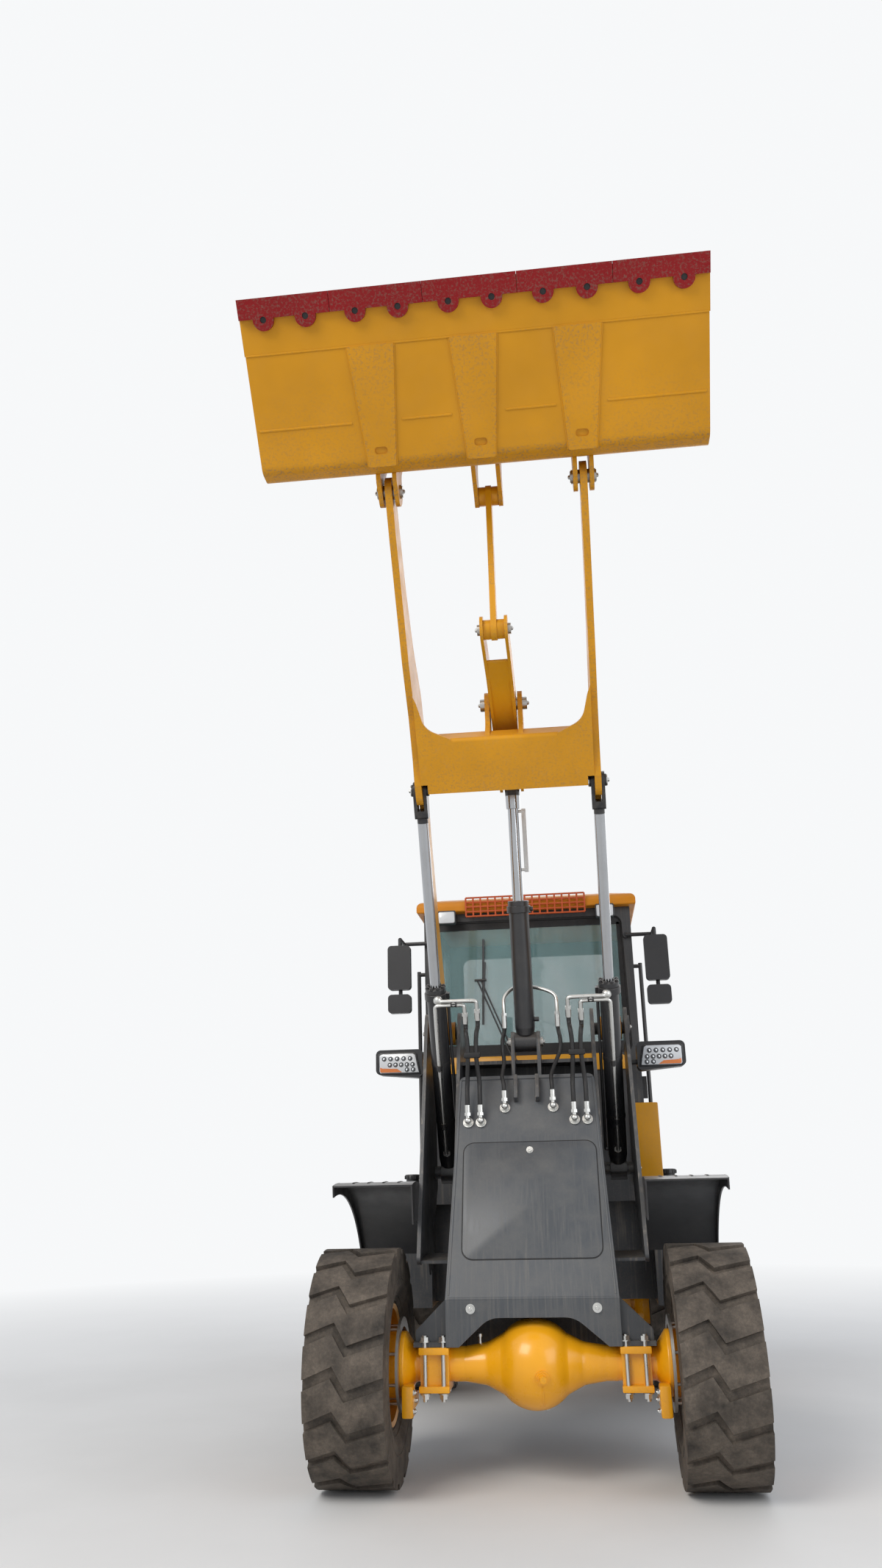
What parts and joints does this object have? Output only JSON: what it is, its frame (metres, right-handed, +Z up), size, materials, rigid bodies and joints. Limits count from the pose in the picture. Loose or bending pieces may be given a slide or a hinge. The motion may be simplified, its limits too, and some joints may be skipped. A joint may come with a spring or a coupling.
{
  "type": "wheel loader",
  "caption": "Articulated wheel loader with a raised boom and bucket on a Z-bar linkage, hinged frames, enclosed cab, rear engine hood and lugged tyres.",
  "frame": {"origin": "centre of the overall bounding box's bottom face, on the ground below the machine", "axes": "-Y is the way the bucket faces, +Z up, +X the machine's left side"},
  "size_m": [2.21, 5.9274, 5.5197],
  "materials": {
    "yellow_paint": "satin, dusty",
    "axle_paint": "satin",
    "charcoal_paint": "satin, dusty",
    "black_paint": "satin",
    "rod_chrome": "polished",
    "steel": "machined",
    "red_paint": "satin",
    "roof_paint": "satin",
    "cast": "rough",
    "tyre_rubber": "dusty",
    "glass": "clear, tinted",
    "seat_cloth": "woven",
    "plastic": "grained",
    "lamp": "glossy"
  },
  "bodies": {
    "rear_frame": {"rear_chassis": "charcoal_paint", "counterweight": "cast", "engine_block": "cast", "engine_cowl": "yellow_paint", "exhaust_stack": "black_paint", "air_cleaner": "plastic", "rear_axle": "axle_paint", "cab_floor": "charcoal_paint", "cab_front": "charcoal_paint", "cab_rear": "charcoal_paint", "cab_sides": "charcoal_paint", "cab_roof": "roof_paint", "cab_glass": "glass", "driver_seat": "seat_cloth", "steering_column": "plastic", "side_tanks": "charcoal_paint", "cab_steps": "black_paint", "handrails": "black_paint", "rear_fenders": "black_paint", "mirrors": "plastic", "work_lamps": "lamp"},
    "hood": {"engine_hood": "yellow_paint", "radiator_grille": "black_paint"},
    "door_left": {"door_left": "charcoal_paint", "door_glass_left": "glass"},
    "door_right": {"door_right": "charcoal_paint", "door_glass_right": "glass"},
    "front_frame": {"front_frame": "charcoal_paint", "front_tower": "charcoal_paint", "front_cover": "charcoal_paint", "front_fenders": "black_paint", "headlights": "lamp", "front_axle": "axle_paint"},
    "boom": {"boom": "yellow_paint"},
    "bucket_pins": {"bucket_pins": "steel"},
    "bucket": {"bucket_shell": "yellow_paint", "cutting_edge": "red_paint"},
    "bellcrank_pin": {"bellcrank_pin": "steel"},
    "bellcrank": {"bellcrank": "yellow_paint"},
    "link_pin": {"link_pin": "steel"},
    "link": {"link": "yellow_paint"},
    "tilt_pin": {"tilt_pin": "steel"},
    "tilt_barrel": {"tilt_barrel": "black_paint"},
    "tilt_rod": {"tilt_rod": "rod_chrome"},
    "lift_barrel_left": {"lift_barrel_left": "black_paint"},
    "lift_barrel_right": {"lift_barrel_right": "black_paint"},
    "lift_rod_left": {"lift_rod_left": "rod_chrome"},
    "lift_rod_right": {"lift_rod_right": "rod_chrome"},
    "steer_barrel_left": {"steer_barrel_left": "black_paint"},
    "steer_barrel_right": {"steer_barrel_right": "black_paint"},
    "steer_rod_left": {"steer_rod_left": "rod_chrome"},
    "steer_rod_right": {"steer_rod_right": "rod_chrome"},
    "wheel_front_left": {"tyre_front_left": "tyre_rubber", "rim_front_left": "yellow_paint"},
    "wheel_front_right": {"tyre_front_right": "tyre_rubber", "rim_front_right": "yellow_paint"},
    "wheel_rear_left": {"tyre_rear_left": "tyre_rubber", "rim_rear_left": "yellow_paint"},
    "wheel_rear_right": {"tyre_rear_right": "tyre_rubber", "rim_rear_right": "yellow_paint"}
  },
  "joints": [
    {"name": "steering", "type": "hinge", "parent": "rear_frame", "child": "front_frame", "pos_m": [0, 0.28368, 0.76], "axis": [0, 0, 1], "range_deg": [-35, 35]},
    {"name": "boom_lift", "type": "hinge", "parent": "front_frame", "child": "boom", "pos_m": [0, -0.27632, 2.22], "axis": [-1, 0, 0], "range_deg": [-92, 0]},
    {"name": "bucket_pins_level", "type": "hinge", "parent": "boom", "child": "bucket_pins", "pos_m": [0, -2.19693, 4.75951], "axis": [-1, 0, 0], "range_deg": [0, 92.2]},
    {"name": "bucket_tilt", "type": "hinge", "parent": "bucket_pins", "child": "bucket", "pos_m": [0, -2.19693, 4.75951], "axis": [-1, 0, 0], "range_deg": [-92, 0]},
    {"name": "bellcrank_pin_turn", "type": "hinge", "parent": "boom", "child": "bellcrank_pin", "pos_m": [0, -1.34206, 3.89773], "axis": [-1, 0, 0], "range_deg": [-24.12, 0]},
    {"name": "bellcrank_turn", "type": "hinge", "parent": "bellcrank_pin", "child": "bellcrank", "pos_m": [0, -1.34206, 3.89773], "axis": [-1, 0, 0], "range_deg": [0, 25.24]},
    {"name": "link_pin_turn", "type": "hinge", "parent": "bellcrank", "child": "link_pin", "pos_m": [0, -1.99186, 4.04573], "axis": [-1, 0, 0], "range_deg": [0, 12.66]},
    {"name": "link_turn", "type": "hinge", "parent": "link_pin", "child": "link", "pos_m": [0, -1.99186, 4.04573], "axis": [-1, 0, 0], "range_deg": [-57.58, 0]},
    {"name": "tilt_pin_turn", "type": "hinge", "parent": "front_frame", "child": "tilt_pin", "pos_m": [0, -0.44632, 2.14], "axis": [-1, 0, 0], "range_deg": [-93.56, 0]},
    {"name": "tilt_cylinder_swing", "type": "hinge", "parent": "tilt_pin", "child": "tilt_barrel", "pos_m": [0, -0.44632, 2.14], "axis": [-1, 0, 0], "range_deg": [-7.03, 0]},
    {"name": "tilt_rod_slide", "type": "slide", "parent": "tilt_barrel", "child": "tilt_rod", "axis": [0, -0.2265, 0.974], "range_m": [-0.14987, 0]},
    {"name": "lift_cylinder_swing_left", "type": "hinge", "parent": "front_frame", "child": "lift_barrel_left", "pos_m": [0.492, -0.19632, 1.43], "axis": [-1, 0, 0], "range_deg": [-72.08, 0]},
    {"name": "lift_rod_slide_left", "type": "slide", "parent": "lift_barrel_left", "child": "lift_rod_left", "axis": [0, -0.4486, 0.8937], "range_m": [-0.97147, 0]},
    {"name": "steer_cylinder_swing_left", "type": "hinge", "parent": "rear_frame", "child": "steer_barrel_left", "pos_m": [0.22, 0.62368, 0.8], "axis": [0, 0, 1], "range_deg": [-18.37, 18.37]},
    {"name": "steer_rod_slide_left", "type": "slide", "parent": "steer_barrel_left", "child": "steer_rod_left", "axis": [0.124, -0.9923, 0], "range_m": [-0.15714, 0.15714]},
    {"name": "door_hinge_left", "type": "hinge", "parent": "rear_frame", "child": "door_left", "pos_m": [0.7093, 1.23668, 2.2], "axis": [0, 0, 1], "range_deg": [0, 100]},
    {"name": "wheel_spin_front_left", "type": "hinge", "parent": "front_frame", "child": "wheel_front_left", "pos_m": [0.8635, -0.99632, 0.5375], "axis": [1, 0, 0], "continuous": true},
    {"name": "wheel_spin_rear_left", "type": "hinge", "parent": "rear_frame", "child": "wheel_rear_left", "pos_m": [0.8635, 1.56368, 0.5375], "axis": [1, 0, 0], "continuous": true},
    {"name": "lift_cylinder_swing_right", "type": "hinge", "parent": "front_frame", "child": "lift_barrel_right", "pos_m": [-0.492, -0.19632, 1.43], "axis": [-1, 0, 0], "range_deg": [-72.08, 0]},
    {"name": "lift_rod_slide_right", "type": "slide", "parent": "lift_barrel_right", "child": "lift_rod_right", "axis": [0, -0.4486, 0.8937], "range_m": [-0.97147, 0]},
    {"name": "steer_cylinder_swing_right", "type": "hinge", "parent": "rear_frame", "child": "steer_barrel_right", "pos_m": [-0.22, 0.62368, 0.8], "axis": [0, 0, 1], "range_deg": [-18.37, 18.37]},
    {"name": "steer_rod_slide_right", "type": "slide", "parent": "steer_barrel_right", "child": "steer_rod_right", "axis": [-0.124, -0.9923, 0], "range_m": [-0.15714, 0.15714]},
    {"name": "door_hinge_right", "type": "hinge", "parent": "rear_frame", "child": "door_right", "pos_m": [-0.7093, 1.23668, 2.2], "axis": [0, 0, -1], "range_deg": [0, 100]},
    {"name": "wheel_spin_front_right", "type": "hinge", "parent": "front_frame", "child": "wheel_front_right", "pos_m": [-0.8635, -0.99632, 0.5375], "axis": [1, 0, 0], "continuous": true},
    {"name": "wheel_spin_rear_right", "type": "hinge", "parent": "rear_frame", "child": "wheel_rear_right", "pos_m": [-0.8635, 1.56368, 0.5375], "axis": [1, 0, 0], "continuous": true},
    {"name": "hood_hinge", "type": "hinge", "parent": "rear_frame", "child": "hood", "pos_m": [0, 1.96068, 1.9383], "axis": [1, 0, 0], "range_deg": [0, 50]}
  ],
  "couplings": [
    {"joint": "bucket_pins_level", "follows": "boom_lift", "ratio": -1},
    {"joint": "bellcrank_pin_turn", "follows": "boom_lift", "ratio": 0.26108},
    {"joint": "bellcrank_turn", "follows": "bucket_tilt", "ratio": -0.27327},
    {"joint": "link_pin_turn", "follows": "boom_lift", "ratio": -0.13683},
    {"joint": "link_turn", "follows": "bucket_tilt", "ratio": 0.62409},
    {"joint": "tilt_pin_turn", "follows": "boom_lift", "ratio": 1.0144},
    {"joint": "tilt_cylinder_swing", "follows": "bucket_tilt", "ratio": 0.075686},
    {"joint": "tilt_rod_slide", "follows": "bucket_tilt", "m_per_rad": 0.093023},
    {"joint": "lift_cylinder_swing_left", "follows": "boom_lift", "ratio": 0.78141},
    {"joint": "lift_rod_slide_left", "follows": "boom_lift", "m_per_rad": 0.6047},
    {"joint": "steer_cylinder_swing_left", "follows": "steering", "ratio": 0.52123},
    {"joint": "steer_rod_slide_left", "follows": "steering", "m_per_rad": -0.25642},
    {"joint": "lift_cylinder_swing_right", "follows": "boom_lift", "ratio": 0.78141},
    {"joint": "lift_rod_slide_right", "follows": "boom_lift", "m_per_rad": 0.6047},
    {"joint": "steer_cylinder_swing_right", "follows": "steering", "ratio": 0.52123},
    {"joint": "steer_rod_slide_right", "follows": "steering", "m_per_rad": 0.25642}
  ]
}
